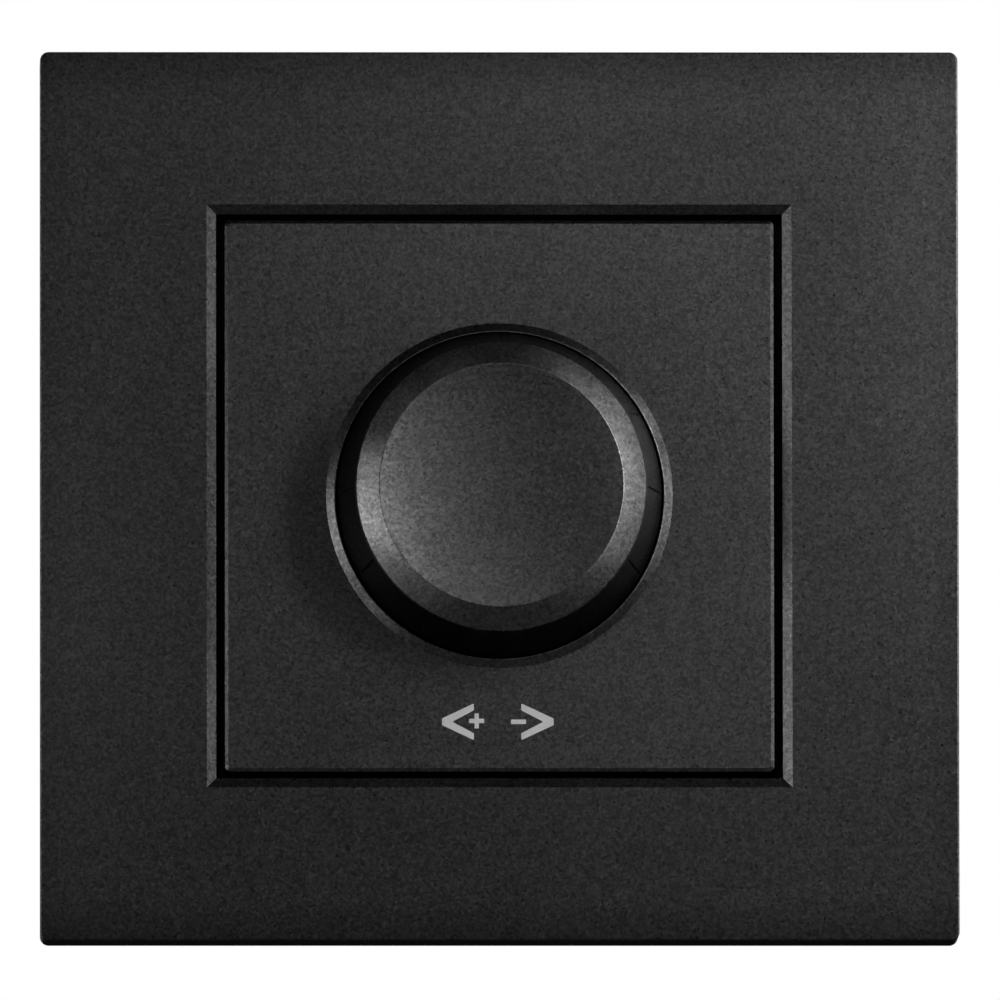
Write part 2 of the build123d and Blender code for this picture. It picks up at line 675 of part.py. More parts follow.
with BuildPart() as triac_leadframe:
    with BuildSketch(front(1.5)):
        with Locations((TRIAC_X, 0.7)):
            Rectangle(9.4, 15.4)
        with Locations((TRIAC_X, TRIAC_HOLE_Z)):
            Circle(1.8, mode=Mode.SUBTRACT)
    extrude(amount=1.3)
    with BuildSketch(front(3.1)):
        with Locations(*[(TRIAC_X + d, -8.25) for d in (-2.54, 0, 2.54)]):
            Rectangle(0.8, 2.5)
    extrude(amount=0.5)
    with BuildSketch(front(BOARD_Y0)):
        with Locations(*[(TRIAC_X + d, -9.25) for d in (-2.54, 0, 2.54)]):
            Rectangle(0.8, 0.5)
    extrude(amount=BOARD_Y0 - 3.1)
save(triac_leadframe, "triac_leadframe")

with BuildPart() as triac:
    with BuildSketch(front(4.6)):
        with Locations((TRIAC_X, -2.5)):
            Rectangle(9.4, 9.0)
    extrude(amount=3.1)
    chamfer(triac.faces().sort_by(Axis.Y)[-1].edges(), length=0.5)
save(triac, "triac")

with BuildPart() as triac_screw:
    with BuildSketch(front(5.0)):
        with Locations((TRIAC_X, TRIAC_HOLE_Z)):
            Circle(1.5)
    extrude(amount=5.0 + STRAP_T)
    with BuildSketch(front(-STRAP_T)):
        with Locations((TRIAC_X, TRIAC_HOLE_Z)):
            Circle(2.6)
    extrude(amount=1.3)
    fillet(triac_screw.edges().filter_by(GeomType.CIRCLE).group_by(Axis.Y)[0], radius=0.5)
    with BuildSketch(front(-STRAP_T - 0.5)):
        with Locations((TRIAC_X, TRIAC_HOLE_Z)):
            Rectangle(3.2, 0.7)
            Rectangle(0.7, 3.2)
    extrude(amount=3, mode=Mode.SUBTRACT)
save(triac_screw, "triac_screw")

with BuildPart() as triac_nut:
    with BuildSketch(front(3.9)):
        with Locations((TRIAC_X, TRIAC_HOLE_Z)):
            RegularPolygon(2.75, 6, major_radius=False)
            Circle(1.52, mode=Mode.SUBTRACT)
    extrude(amount=2.4)
save(triac_nut, "triac_nut")

FUSE_Y, FUSE_Z = 7.5, -13.8
with BuildPart() as fuse_tube:
    with BuildSketch(Plane.YZ.offset(-9.2)):
        with Locations((FUSE_Y, FUSE_Z)):
            Circle(2.4)
            Circle(1.9, mode=Mode.SUBTRACT)
    extrude(amount=18.4)
save(fuse_tube, "fuse_tube")

with BuildPart() as fuse_caps:
    for side in (1, -1):
        with BuildSketch(Plane.YZ.offset(side * 5.0)):
            with Locations((FUSE_Y, FUSE_Z)):
                Circle(2.6)
        extrude(amount=side * 5.0)
        with BuildSketch(Plane.YZ.offset(side * 5.0)):
            with Locations((FUSE_Y, FUSE_Z)):
                Circle(2.42)
        extrude(amount=side * 4.25, mode=Mode.SUBTRACT)
save(fuse_caps, "fuse_caps")

with BuildPart() as fuse_wire:
    with BuildSketch(Plane.YZ.offset(-9.25)):
        with Locations((FUSE_Y, FUSE_Z)):
            Circle(0.15)
    extrude(amount=18.5)
save(fuse_wire, "fuse_wire")

with BuildPart() as fuse_clips:
    for side in (1, -1):
        with BuildSketch(Plane.YZ.offset(side * 7.5 - 1.8)):
            with Locations((FUSE_Y, FUSE_Z)):
                Circle(3.05)
                Circle(2.65, mode=Mode.SUBTRACT)
            with Locations((FUSE_Y - 3.0, FUSE_Z)):
                Rectangle(3.4, 4.0, mode=Mode.SUBTRACT)
            with Locations(((FUSE_Y + 2.8 + BOARD_Y0) / 2, FUSE_Z)):
                Rectangle(BOARD_Y0 - FUSE_Y - 2.8, 1.0)
        extrude(amount=3.6)
save(fuse_clips, "fuse_clips")

with BuildPart() as resistors:
    with BuildSketch(level(6.7)):
        with Locations((-15.4, 11.8), (-12.6, 11.8), (-9.8, 11.8)):
            Circle(1.1)
    extrude(amount=4.0)
    fillet(resistors.edges().filter_by(GeomType.CIRCLE), radius=0.5)
    with BuildSketch(level(6.2)):
        with Locations((-15.4, 11.8), (-12.6, 11.8), (-9.8, 11.8)):
            Circle(0.3)
    extrude(amount=5.0)
save(resistors, "resistors")

with BuildPart() as film_capacitors:
    with BuildSketch(front(BOARD_Y0)):
        with Locations((-14.0, -6.4)):
            Rectangle(7.0, 2.4)
        with Locations((13.2, 11.0)):
            Rectangle(7.0, 2.4)
    extrude(amount=6.0)
    fillet(film_capacitors.edges().filter_by(Axis.Y), radius=0.5)
save(film_capacitors, "film_capacitors")

with BuildPart() as diac:
    with BuildSketch(level(-2.0)):
        with Locations((12.0, 12.0)):
            Circle(0.95)
    extrude(amount=4.0)
    with BuildSketch(level(-2.8)):
        with Locations((12.0, 12.0)):
            Circle(0.3)
    extrude(amount=5.6)
save(diac, "diac")

# ------------------------------------------------------------------ screw terminals
CLAMP_Z0, CLAMP_Z1, CLAMP_REAR_Y = -18.9, -12.1, 21.6
with BuildPart() as terminal_clamps:
    with BuildSketch(front(CLAMP_REAR_Y)):
        with Locations(*[(x, (CLAMP_Z0 + CLAMP_Z1) / 2) for x in BAYS]):
            RectangleRounded(6.6, CLAMP_Z1 - CLAMP_Z0, 0.4)
    extrude(amount=CLAMP_REAR_Y - BOARD_Y1)
    with BuildSketch(level(CLAMP_Z0 - 1)):
        with Locations(*[(x, (15.4 + 20.3) / 2) for x in BAYS]):
            RectangleRounded(4.8, 20.3 - 15.4, 0.4)
    extrude(amount=CLAMP_Z1 - CLAMP_Z0 + 2, mode=Mode.SUBTRACT)
    with BuildSketch(front(CLAMP_REAR_Y)):
        with Locations(*[(x, TERMINAL_Z) for x in BAYS]):
            Circle(1.55)
    extrude(amount=1.4, mode=Mode.SUBTRACT)
save(terminal_clamps, "terminal_clamps")

with BuildPart() as terminal_screws:
    with BuildSketch(front(23.8)):
        with Locations(*[(x, TERMINAL_Z) for x in BAYS]):
            Circle(2.4)
    extrude(amount=1.9)
    chamfer(terminal_screws.edges().filter_by(GeomType.CIRCLE).group_by(Axis.Y)[-1], length=0.3)
    with BuildSketch(front(21.9)):
        with Locations(*[(x, TERMINAL_Z) for x in BAYS]):
            Circle(1.5)
    extrude(amount=1.6)
    with BuildSketch(front(24.0)):
        with Locations(*[(x, TERMINAL_Z) for x in BAYS]):
            Rectangle(6.0, 0.8)
    extrude(amount=1.0, mode=Mode.SUBTRACT)
save(terminal_screws, "terminal_screws")
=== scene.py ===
import json
import math

import bmesh
import bpy
from mathutils import Matrix, Quaternion, Vector


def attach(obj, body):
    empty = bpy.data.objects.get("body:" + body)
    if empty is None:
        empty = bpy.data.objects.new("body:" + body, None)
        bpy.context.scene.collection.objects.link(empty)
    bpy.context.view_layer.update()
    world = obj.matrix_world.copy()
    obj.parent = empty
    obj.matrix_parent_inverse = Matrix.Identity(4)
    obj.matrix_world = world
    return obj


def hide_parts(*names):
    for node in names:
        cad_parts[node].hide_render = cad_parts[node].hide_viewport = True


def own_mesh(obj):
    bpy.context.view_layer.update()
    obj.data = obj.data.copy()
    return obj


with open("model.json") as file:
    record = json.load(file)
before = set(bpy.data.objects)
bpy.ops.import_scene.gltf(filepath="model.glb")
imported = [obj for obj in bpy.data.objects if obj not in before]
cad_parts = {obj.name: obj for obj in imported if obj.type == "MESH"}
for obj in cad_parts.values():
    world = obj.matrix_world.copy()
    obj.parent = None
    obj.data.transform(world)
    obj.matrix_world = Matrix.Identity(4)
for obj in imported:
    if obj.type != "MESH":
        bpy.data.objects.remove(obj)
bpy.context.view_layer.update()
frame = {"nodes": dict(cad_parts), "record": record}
nodes = frame["nodes"]
MM = 0.001
scene = bpy.context.scene


# ------------------------------------------------------------------ node helpers
class Tree:
    """A small wrapper round one material's node tree."""

    def __init__(self, name):
        self.mat = bpy.data.materials.new(name)
        self.mat.use_nodes = True
        self.t = self.mat.node_tree
        self.bsdf = self.t.nodes["Principled BSDF"]
        self.out = self.t.nodes["Material Output"]
        self.coord = self.t.nodes.new("ShaderNodeTexCoord").outputs["Object"]

    def add(self, kind, **props):
        n = self.t.nodes.new(kind)
        for k, v in props.items():
            setattr(n, k, v)
        return n

    def link(self, a, b):
        self.t.links.new(a, b)

    def stretch(self, scale, rotation=(0, 0, 0)):
        m = self.add("ShaderNodeMapping")
        m.inputs["Scale"].default_value = scale
        m.inputs["Rotation"].default_value = rotation
        self.link(self.coord, m.inputs["Vector"])
        return m.outputs["Vector"]

    def noise(self, scale, detail=2.0, rough=0.5, vector=None):
        n = self.add("ShaderNodeTexNoise")
        n.inputs["Scale"].default_value = scale
        n.inputs["Detail"].default_value = detail
        n.inputs["Roughness"].default_value = rough
        self.link(vector or self.coord, n.inputs["Vector"])
        return n.outputs["Fac"]

    def cells(self, scale, vector=None):
        n = self.add("ShaderNodeTexVoronoi")
        n.inputs["Scale"].default_value = scale
        self.link(vector or self.coord, n.inputs["Vector"])
        return n

    def remap(self, value, lo, hi, from_lo=0.0, from_hi=1.0):
        n = self.add("ShaderNodeMapRange")
        n.inputs["From Min"].default_value = from_lo
        n.inputs["From Max"].default_value = from_hi
        n.inputs["To Min"].default_value = lo
        n.inputs["To Max"].default_value = hi
        self.link(value, n.inputs["Value"])
        return n.outputs["Result"]

    def math(self, op, a, b):
        n = self.add("ShaderNodeMath", operation=op)
        for i, v in enumerate((a, b)):
            if isinstance(v, (int, float)):
                n.inputs[i].default_value = v
            else:
                self.link(v, n.inputs[i])
        return n.outputs[0]

    def ramp(self, value, stops):
        n = self.add("ShaderNodeValToRGB")
        e = n.color_ramp.elements
        while len(e) < len(stops):
            e.new(0.5)
        for slot, (pos, colour) in zip(e, stops):
            slot.position = pos
            slot.color = (*colour, 1.0)
        self.link(value, n.inputs["Fac"])
        return n.outputs["Color"]

    def bump(self, height, strength, distance, normal=None):
        n = self.add("ShaderNodeBump")
        n.inputs["Strength"].default_value = strength
        n.inputs["Distance"].default_value = distance
        self.link(height, n.inputs["Height"])
        if normal is not None:
            self.link(normal, n.inputs["Normal"])
        return n.outputs["Normal"]

    def set(self, **values):
        for k, v in values.items():
            socket = self.bsdf.inputs[k.replace("_", " ")]
            if hasattr(v, "node"):
                self.link(v, socket)
            elif isinstance(v, tuple) and len(v) == 3:
                socket.default_value = (*v, 1.0)
            else:
                socket.default_value = v
        return self.mat


def grey(v):
    return (v, v, v)


def tint(colour, k):
    return tuple(min(1.0, c * k) for c in colour)


# ------------------------------------------------------------------ materials
FLAKE = 4700.0  # flakes of about 0.21 mm
FLAKE_SPREAD = 0.34
LACQUER = 0.1545
# painted light: the plate's and the knob's copies of this lacquer have lighter bases than the frame's
PLATE_LACQUER_PAINTED_LIGHTER = 0.1895
KNOB_LACQUER_PAINTED_LIGHTER = 0.228
LACQUER_ROUGH = 0.30
LACQUER_GRAZE = 0.45  # the flake coat does not turn mirror-like at a grazing angle


def lacquer(name, base, paint_side_shade=False):
    """Satin dark grey lacquer over moulded plastic, with fine metallic flake and a slight orange peel."""
    t = Tree(name)
    flake = t.cells(FLAKE)
    split = t.add("ShaderNodeSeparateColor")
    t.link(flake.outputs["Color"], split.inputs["Color"])
    fine = t.noise(FLAKE * 0.62, 2.0, 0.6)
    cloud = t.noise(90.0, 3.0, 0.55)
    level = t.math("MULTIPLY", t.remap(split.outputs["Red"], 1 - FLAKE_SPREAD, 1 + FLAKE_SPREAD),
                   t.remap(fine, 0.72, 1.28, 0.25, 0.75))
    level = t.math("MULTIPLY", level, t.remap(cloud, 0.95, 1.05, 0.3, 0.7))
    at = t.add("ShaderNodeSeparateXYZ")
    t.link(t.coord, at.inputs["Vector"])
    if paint_side_shade:
        # painted shade: the knob's conical side and all of it behind the rim are painted much darker than its front and
        # chamfer
        level = t.math("MULTIPLY", level, t.remap(at.outputs["Y"], 1.0, 0.2, -0.0194, -0.0191))
    else:
        # painted shade: the coat is painted much darker in the gap round the plate and in the knob's well, behind the
        # front and inside the window
        across, upright = (t.math("ABSOLUTE", at.outputs[k], 0.0) for k in "XZ")
        inside = t.remap(t.math("MAXIMUM", across, upright), 1.0, 0.0, 0.0268, 0.0271)
        behind = t.remap(at.outputs["Y"], 0.0, 1.0, -0.0095, -0.0088)
        level = t.math("MULTIPLY", level, t.remap(t.math("MULTIPLY", inside, behind), 1.0, 0.12))
        # and painted shade a little towards the outer edge of the frame's front, more at its top and bottom than at its
        # sides
        ahead = t.remap(at.outputs["Y"], 1.0, 0.0, -0.0099, -0.0095)
        for reach, start, end, least in ((across, 0.0390, 0.0418, 0.86), (upright, 0.0368, 0.0406, 0.68)):
            near = t.math("MULTIPLY", t.remap(reach, 0.0, 1.0, start, end), ahead)
            level = t.math("MULTIPLY", level, t.remap(near, 1.0, least))
    colour = t.ramp(t.math("MULTIPLY", level, 0.5), [(0.0, grey(0.0)), (1.0, grey(base * 2))])
    rough = t.remap(split.outputs["Green"], LACQUER_ROUGH - 0.03, LACQUER_ROUGH + 0.03)
    peel = t.bump(t.noise(900.0, 2.0, 0.5), 0.06, 0.00006)
    normal = t.bump(split.outputs["Blue"], 0.10, 0.00002, peel)
    return t.set(Base_Color=colour, Metallic=1.0, Roughness=rough, Normal=normal, Specular_Tint=grey(LACQUER_GRAZE))


def zinc(name):
    """Zinc-plated pressed steel: faint spangle, rolling lines and scuffs."""
    t = Tree(name)
    spangle = t.cells(1300.0)
    split = t.add("ShaderNodeSeparateColor")
    t.link(spangle.outputs["Color"], split.inputs["Color"])
    rolled = t.noise(220.0, 4.0, 0.6, t.stretch((18.0, 1.0, 1.0)))
    stain = t.noise(55.0, 4.0, 0.6)
    level = t.math("ADD", t.math("MULTIPLY", split.outputs["Red"], 0.25), t.math("MULTIPLY", stain, 0.75))
    colour = t.ramp(level, [(0.25, (0.42, 0.43, 0.45)), (0.55, (0.56, 0.57, 0.58)), (0.85, (0.66, 0.66, 0.65))])
    rough = t.math("ADD", t.remap(split.outputs["Green"], 0.30, 0.36), t.math("MULTIPLY", rolled, 0.12))
    normal = t.bump(rolled, 0.12, 0.00004)
    return t.set(Base_Color=colour, Metallic=1.0, Roughness=rough, Normal=normal)


def metal(name, dark, mid, light, rough, lines=(1.0, 60.0, 1.0), line_scale=60.0, bump=0.12):
    """Plain metal with fine tool lines and a light tarnish."""
    t = Tree(name)
    tarnish = t.noise(260.0, 4.0, 0.6)
    tool = t.noise(line_scale, 3.0, 0.6, t.stretch(lines))
    colour = t.ramp(tarnish, [(0.3, dark), (0.5, mid), (0.72, light)])
    r = t.math("ADD", t.remap(tarnish, rough - 0.05, rough + 0.06, 0.3, 0.7), t.math("MULTIPLY", tool, 0.08))
    return t.set(Base_Color=colour, Metallic=1.0, Roughness=r, Normal=t.bump(tool, bump, 0.00003))


def moulded(name, base, rough, grain=2600.0, grain_bump=0.18, spread=0.1, specular=0.5):
    """Moulded plastic with a spark-eroded skin and slight flow clouding."""
    t = Tree(name)
    skin = t.noise(grain, 3.0, 0.6)
    cloud = t.noise(70.0, 3.0, 0.5)
    level = t.math("ADD", t.math("MULTIPLY", skin, 0.45), t.math("MULTIPLY", cloud, 0.55))
    colour = t.ramp(level, [(0.25, tint(base, 1 - spread)), (0.5, base), (0.75, tint(base, 1 + spread))])
    r = t.remap(skin, rough - 0.07, rough + 0.07, 0.3, 0.7)
    return t.set(Base_Color=colour, Roughness=r, Normal=t.bump(skin, grain_bump, 0.00004), Specular_IOR_Level=specular)


def board_material(name):
    """Laminate with green mask, faint weave and tinned tracks running across it."""
    t = Tree(name)
    weave = t.add("ShaderNodeTexWave", wave_type="BANDS", bands_direction="X")
    weave.inputs["Scale"].default_value = 420.0
    t.link(t.coord, weave.inputs["Vector"])
    tracks = t.cells(260.0, t.stretch((1.0, 0.02, 1.0)))
    tracks.distance = "MANHATTAN"
    edge = t.remap(tracks.outputs["Distance"], 0.0, 1.0, 0.25, 0.4)
    base = t.ramp(weave.outputs["Fac"], [(0.0, (0.010, 0.075, 0.030)), (1.0, (0.016, 0.105, 0.042))])
    mix = t.add("ShaderNodeMix", data_type="RGBA")
    t.link(edge, mix.inputs["Factor"])
    t.link(base, mix.inputs["A"])
    mix.inputs["B"].default_value = (0.022, 0.15, 0.06, 1.0)
    return t.set(Base_Color=mix.outputs["Result"], Roughness=t.remap(weave.outputs["Fac"], 0.32, 0.42),
                 Normal=t.bump(edge, 0.15, 0.00006))


def glass_material(name):
    t = Tree(name)
    ripple = t.noise(180.0, 2.0, 0.5)
    return t.set(Base_Color=t.ramp(ripple, [(0.3, (0.82, 0.88, 0.88)), (0.7, (0.92, 0.95, 0.95))]),
                 Roughness=t.remap(ripple, 0.02, 0.07), Transmission_Weight=1.0, IOR=1.47)


def print_material(name):
    """Pad-printed light grey ink, a little uneven."""
    t = Tree(name)
    ink = t.noise(5200.0, 3.0, 0.6)
    patch = t.noise(700.0, 2.0, 0.5)
    level = t.math("ADD", t.math("MULTIPLY", ink, 0.6), t.math("MULTIPLY", patch, 0.4))
    colour = t.ramp(level, [(0.3, grey(0.80)), (0.55, grey(0.90)), (0.8, grey(0.97))])
    return t.set(Base_Color=colour, Roughness=t.remap(ink, 0.5, 0.65), Normal=t.bump(ink, 0.1, 0.00002))


M = {
    "anthracite": lacquer("anthracite_lacquer", LACQUER),
    # painted light: lighter copies of the frame's lacquer for the plate and the knob; the knob's copy also paints shade
    # on its side
    "anthracite_plate_painted_lighter": lacquer("anthracite_lacquer_plate_painted_lighter", PLATE_LACQUER_PAINTED_LIGHTER),
    "anthracite_knob_painted_light_and_shade": lacquer("anthracite_lacquer_knob_painted_light_and_shade", KNOB_LACQUER_PAINTED_LIGHTER, paint_side_shade=True),
    "housing_plastic": moulded("housing_plastic", (0.52, 0.53, 0.53), 0.52, grain=1900.0, grain_bump=0.25, spread=0.05),
    "zinc_steel": zinc("zinc_plated_steel"),
    "spring_steel": metal("spring_steel", (0.20, 0.21, 0.23), (0.33, 0.34, 0.36), (0.42, 0.42, 0.43), 0.28),
    "turned_brass": metal("turned_brass", (0.50, 0.33, 0.11), (0.66, 0.47, 0.18), (0.75, 0.56, 0.25), 0.25),
    "nickel_brass": metal("nickel_plate", (0.48, 0.46, 0.42), (0.60, 0.58, 0.53), (0.68, 0.66, 0.61), 0.22),
    "tinned_copper": metal("tinned_copper", (0.50, 0.50, 0.49), (0.62, 0.62, 0.61), (0.72, 0.71, 0.69), 0.3),
    "black_moulding": moulded("black_moulding", (0.028, 0.028, 0.030), 0.48, grain_bump=0.2, spread=0.2),
    "board_laminate": board_material("board_laminate"),
    "capacitor_case": moulded("capacitor_case", (0.62, 0.44, 0.06), 0.3, grain=900.0, grain_bump=0.08, spread=0.06),
    "ferrite": moulded("ferrite", (0.055, 0.055, 0.060), 0.55, grain=3200.0, grain_bump=0.5, spread=0.35),
    "enamelled_wire": metal("enamelled_wire", (0.30, 0.09, 0.03), (0.45, 0.15, 0.05), (0.55, 0.22, 0.08), 0.24),
    "insulating_pad": moulded("insulating_pad", (0.50, 0.52, 0.56), 0.6, grain=1500.0, spread=0.08),
    "fuse_glass": glass_material("fuse_glass"),
    "track_laminate": moulded("track_laminate", (0.16, 0.085, 0.045), 0.42, grain=1200.0, spread=0.2),
    "resistor_body": moulded("resistor_body", (0.42, 0.30, 0.18), 0.35, grain=2000.0, grain_bump=0.1, spread=0.12),
}
ink = print_material("printed_ink")

for row in frame["record"]["subparts"]:
    o = nodes[row["node"]]
    if not o.data.materials:
        o.data.materials.append(None)
    for slot in o.material_slots:
        slot.material = M["anthracite_plate_painted_lighter" if row["node"] == "cover_plate" else row["material_slot"]]


# ------------------------------------------------------------------ mesh helpers
def new_piece(name, bm, material, smooth_deg=None):
    mesh = bpy.data.meshes.new(name)
    bmesh.ops.recalc_face_normals(bm, faces=bm.faces)
    bm.to_mesh(mesh)
    bm.free()
    if smooth_deg is not None:
        mesh.polygons.foreach_set("use_smooth", [True] * len(mesh.polygons))
        mesh.set_sharp_from_angle(angle=math.radians(smooth_deg))
    o = bpy.data.objects.new(name, mesh)
    scene.collection.objects.link(o)
    mesh.materials.append(material)
    return o


def slab(bm, outline, y_front, y_back):
    """Thin flat print or emboss with the given outline of (x, z) points in millimetres."""
    a = [bm.verts.new((x * MM, y_front * MM, z * MM)) for x, z in outline]
    b = [bm.verts.new((x * MM, y_back * MM, z * MM)) for x, z in outline]
    bm.faces.new(a)
    bm.faces.new(list(reversed(b)))
    n = len(a)
    for i in range(n):
        bm.faces.new((a[i], b[i], b[(i + 1) % n], a[(i + 1) % n]))


# ------------------------------------------------------------------ printed marks under the knob
PRINT_FRONT, PRINT_BACK = -10.018, -9.99
MARK_Z = -20.76


def rounded(corners, r, n=4):
    """Outline through those (x, z) corners with each corner eased to radius r, as printing ink does."""
    pts = []
    for i, (x, z) in enumerate(corners):
        p = Vector((x, z))
        a, b = Vector(corners[i - 1]) - p, Vector(corners[(i + 1) % len(corners)]) - p
        half = a.angle(b) / 2
        cut = min(r / math.tan(half), 0.45 * a.length, 0.45 * b.length)
        start, end = p + a.normalized() * cut, p + b.normalized() * cut
        for k in range(n + 1):
            t = k / n
            q = start * (1 - t) ** 2 + p * 2 * t * (1 - t) + end * t ** 2
            pts.append((q.x, q.y))
    return pts


def chevron(bm, apex_x, open_x, half, blunt, stroke, notch):
    """An arrowhead with upright cut ends and a blunt tip, its arms open towards open_x."""
    s = 1 if open_x > apex_x else -1
    pts = [(apex_x, blunt), (open_x, half), (open_x, half - stroke), (apex_x + s * notch, 0.0),
           (open_x, stroke - half), (open_x, -half), (apex_x, -blunt)]
    slab(bm, rounded([(x, MARK_Z + z) for x, z in pts], 0.09), PRINT_FRONT, PRINT_BACK)


def bar(bm, x0, x1, z0, z1):
    slab(bm, rounded([(x1, z1), (x0, z1), (x0, z0), (x1, z0)], 0.07), PRINT_FRONT, PRINT_BACK)


def plus(bm, cx, z, arm, half):
    pts = [(cx + half, z + half), (cx + half, z + arm), (cx - half, z + arm), (cx - half, z + half), (cx - arm, z + half),
           (cx - arm, z - half), (cx - half, z - half), (cx - half, z - arm), (cx + half, z - arm), (cx + half, z - half),
           (cx + arm, z - half), (cx + arm, z + half)]
    slab(bm, rounded(pts, 0.05), PRINT_FRONT, PRINT_BACK)


bm = bmesh.new()
chevron(bm, -5.28, -2.37, 1.69, 0.30, 0.64, 0.94)
plus(bm, -2.11, MARK_Z + 0.08, 0.69, 0.20)
bar(bm, 1.02, 2.40, MARK_Z - 0.21, MARK_Z + 0.21)
chevron(bm, 4.93, 1.96, 1.69, 0.30, 0.64, 0.94)
marks = new_piece("printed_marks", bm, ink)
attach(marks, "base")


# ------------------------------------------------------------------ claw screws with their cut thread
def threaded_rod(bm, cx, cz, y0, y1, root, crest, pitch, around=36, per_turn=12):
    """Solid rod along Y with a V thread cut into it, eased to the core at both ends."""
    rows = int(round((y1 - y0) / pitch * per_turn))
    rings = []
    for j in range(rows + 1):
        y = y0 + (y1 - y0) * j / rows
        fade = max(0.0, min(1.0, (y - y0) / (0.8 * pitch), (y1 - y) / (1.2 * pitch)))
        ring = []
        for i in range(around):
            a = 2 * math.pi * i / around
            phase = ((y - y0) / pitch - i / around) % 1.0
            tooth = max(0.0, min(1.0, 1.22 * (1 - abs(2 * phase - 1)) - 0.08))
            r = root + (crest - root) * tooth * fade
            ring.append(bm.verts.new(((cx + r * math.cos(a)) * MM, y * MM, (cz + r * math.sin(a)) * MM)))
        rings.append(ring)
    for a, b in zip(rings, rings[1:]):
        for i in range(around):
            k = (i + 1) % around
            bm.faces.new((a[i], a[k], b[k], b[i]))
    bm.faces.new(rings[0])
    bm.faces.new(list(reversed(rings[-1])))


bm = bmesh.new()
bm.from_mesh(nodes["claw_screws"].data)
bmesh.ops.remove_doubles(bm, verts=bm.verts, dist=1e-7)
cut = bmesh.ops.bisect_plane(bm, geom=bm.verts[:] + bm.edges[:] + bm.faces[:], plane_co=(0, -0.6 * MM, 0),
                             plane_no=(0, 1, 0), clear_outer=True)
bmesh.ops.holes_fill(bm, edges=[e for e in bm.edges if e.is_boundary])
for x, z in ((26.6, -9.0), (-26.6, 9.0)):
    threaded_rod(bm, x, z, -0.9, 13.0, 1.2, 1.5, 0.5)
screws = new_piece("claw_screws_threaded", bm, M["zinc_steel"], smooth_deg=32)
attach(screws, "base")
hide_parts("claw_screws")


# ------------------------------------------------------------------ return spring of the push switch
COIL_R, WIRE_R, COIL_Y0, COIL_LENGTH, COIL_PITCH, COIL_END_Y = 2.0, 0.17, 9.89, 2.12, 0.62, 12.2
bm = bmesh.new()
rings = []
for k in range(181):
    a = 2 * math.pi * COIL_LENGTH / COIL_PITCH * k / 180
    c, d, y = math.cos(a), math.sin(a), COIL_Y0 + COIL_LENGTH * k / 180
    ring = []
    for i in range(12):
        b = 2 * math.pi * i / 12
        r = COIL_R + WIRE_R * math.cos(b)
        ring.append(bm.verts.new((r * c * MM, (y + WIRE_R * math.sin(b)) * MM, r * d * MM)))
    rings.append(ring)
for a, b in zip(rings, rings[1:]):
    for i in range(12):
        k = (i + 1) % 12
        bm.faces.new((a[i], a[k], b[k], b[i]))
bm.faces.new(rings[0])
bm.faces.new(list(reversed(rings[-1])))
coil = new_piece("switch_coil", bm, M["spring_steel"], smooth_deg=40)
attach(coil, "base")
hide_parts("switch_spring")
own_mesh(coil)


# ------------------------------------------------------------------ knob, turned finely so that its dish and rims shade smoothly
FACE_R, FACE_Y, DISH = 11.15, -20.5, 0.9
RIM_R, RIM_Y, SKIRT_R, SKIRT_Y, SKIRT_REAR_Y, WALL = 13.27, -19.52, 14.82, -10.8, -6.5, 1.5
GROOVES, GROOVE_DEPTH, GROOVE_HALF = 12, 0.12, 3.45
AROUND = 720


def arc_corner(a, p, b, r, n):
    """Points of a true arc of radius r that rounds corner p between a and b."""
    a, p, b = Vector(a), Vector(p), Vector(b)
    u, v = (a - p).normalized(), (b - p).normalized()
    half = u.angle(v) / 2
    c = p + (u + v).normalized() * r / math.sin(half)
    s, e = p + u * r / math.tan(half) - c, p + v * r / math.tan(half) - c
    turn = s.angle_signed(e)
    return [tuple(c + Matrix.Rotation(-turn * k / n, 2) @ s) for k in range(n + 1)]


def sphere_y(r):
    big = (FACE_R ** 2 + DISH ** 2) / (2 * DISH)
    return FACE_Y + DISH - (big - math.sqrt(big * big - r * r))


def lathe(bm, profile, around, sink=None):
    """Closed solid of revolution about Y from (r, y) points that start and end on the axis."""
    rings = []
    for r, y in profile[1:-1]:
        ring = []
        for i in range(around):
            a = 2 * math.pi * i / around
            d = sink(i, y) if sink else 0.0
            ring.append(bm.verts.new(((r - d) * MM * math.cos(a), y * MM, (r - d) * MM * math.sin(a))))
        rings.append(ring)
    for a, b in zip(rings, rings[1:]):
        for i in range(around):
            k = (i + 1) % around
            bm.faces.new((a[i], b[i], b[k], a[k]))
    for (r, y), ring, flip in ((profile[0], rings[0], 1), (profile[-1], rings[-1], -1)):
        tip = bm.verts.new((0, y * MM, 0))
        for i in range(around):
            k = (i + 1) % around
            bm.faces.new((tip, ring[i], ring[k])[::flip])


def ring_part(bm, r0, r1, y0, y1, a0, a1, n):
    """Part of a ring about Y between two angles in degrees, closed at its ends, or a whole ring."""
    whole = a1 - a0 >= 360
    rows = []
    for j in range(n if whole else n + 1):
        a = math.radians(a0 + (a1 - a0) * j / n)
        rows.append([bm.verts.new((r * MM * math.cos(a), y * MM, r * MM * math.sin(a)))
                     for r, y in ((r0, y0), (r1, y0), (r1, y1), (r0, y1))])
    for j in range(n if whole else n):
        a, b = rows[j], rows[(j + 1) % len(rows)]
        for i in range(4):
            k = (i + 1) % 4
            bm.faces.new((a[i], a[k], b[k], b[i]))
    if not whole:
        bm.faces.new(rows[0][::-1])
        bm.faces.new(rows[-1])


GROOVE_MID = (RIM_Y + SKIRT_Y) / 2


def groove(i, y):
    return GROOVE_DEPTH if i % (AROUND // GROOVES) == 0 and abs(y - GROOVE_MID) < GROOVE_HALF else 0.0


def cone_r(y):
    return RIM_R + (SKIRT_R - RIM_R) * (y - RIM_Y) / (SKIRT_Y - RIM_Y)


